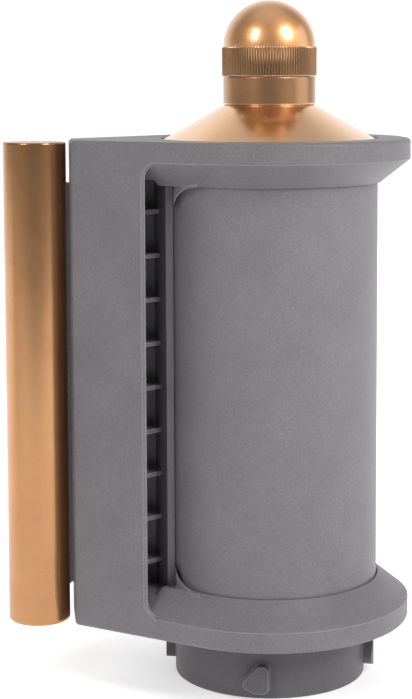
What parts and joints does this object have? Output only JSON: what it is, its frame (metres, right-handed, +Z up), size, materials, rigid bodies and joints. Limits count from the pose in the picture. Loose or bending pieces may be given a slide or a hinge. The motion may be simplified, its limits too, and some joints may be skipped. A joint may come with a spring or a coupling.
{
  "type": "film developing tank",
  "caption": "Daylight film developing tank: a drum on a bayonet base turns in a moulded frame with a tubular grip, under a cone lid with a screwed pouring cap.",
  "frame": {"origin": "on the drum's axis at the flat underside of the base", "axes": "+Z up along the drum's axis, -X from the drum towards the grip tube, +Y completes the right-handed frame"},
  "size_m": [0.1685, 0.1168, 0.2821],
  "materials": {
    "grey_moulding": "fine satin grain",
    "copper_gloss": "polished, copper anodised",
    "copper_satin": "satin, copper anodised",
    "black_plastic": "matt",
    "seal_rubber": "matt",
    "steel": "stainless wire and screws"
  },
  "bodies": {
    "frame": {"frame_shell": "grey_moulding", "upper_bush": "black_plastic", "lower_bush": "black_plastic", "grip_tube": "copper_satin", "grip_plug_top": "copper_satin", "grip_plug_bottom": "copper_satin", "grip_screws": "steel"},
    "drum": {"drum_shell": "grey_moulding", "bayonet_base": "grey_moulding", "base_gasket": "seal_rubber", "base_screws": "steel"},
    "reels": {"reel_lifter": "steel", "reel_1": "steel", "reel_2": "steel", "reel_3": "steel", "reel_4": "steel"},
    "lid": {"lid_cone": "copper_gloss", "lid_seal": "seal_rubber", "pour_neck": "copper_gloss", "neck_nut": "steel", "light_baffle": "black_plastic", "baffle_screws": "steel"},
    "seal_disc": {"cap_seal": "seal_rubber"},
    "cap": {"pour_cap": "copper_gloss", "cap_liner": "black_plastic"}
  },
  "joints": [
    {"name": "drum_turn", "type": "hinge", "parent": "frame", "child": "drum", "pos_m": [0, 0, 0.1], "axis": [0, 0, 1], "continuous": true},
    {"name": "reel_turn", "type": "hinge", "parent": "drum", "child": "reels", "pos_m": [0, 0, 0.1], "axis": [0, 0, 1], "continuous": true},
    {"name": "lid_lift", "type": "slide", "parent": "drum", "child": "lid", "axis": [0, 0, 1], "range_m": [0, 0.06]},
    {"name": "cap_lift", "type": "slide", "parent": "lid", "child": "seal_disc", "axis": [0, 0, 1], "range_m": [0, 0.01]},
    {"name": "cap_turn", "type": "hinge", "parent": "seal_disc", "child": "cap", "pos_m": [0, 0, 0.26], "axis": [0, 0, 1], "range_deg": [0, 1080]}
  ],
  "couplings": [
    {"joint": "cap_lift", "follows": "cap_turn", "m_per_rad": 0.00052521}
  ]
}
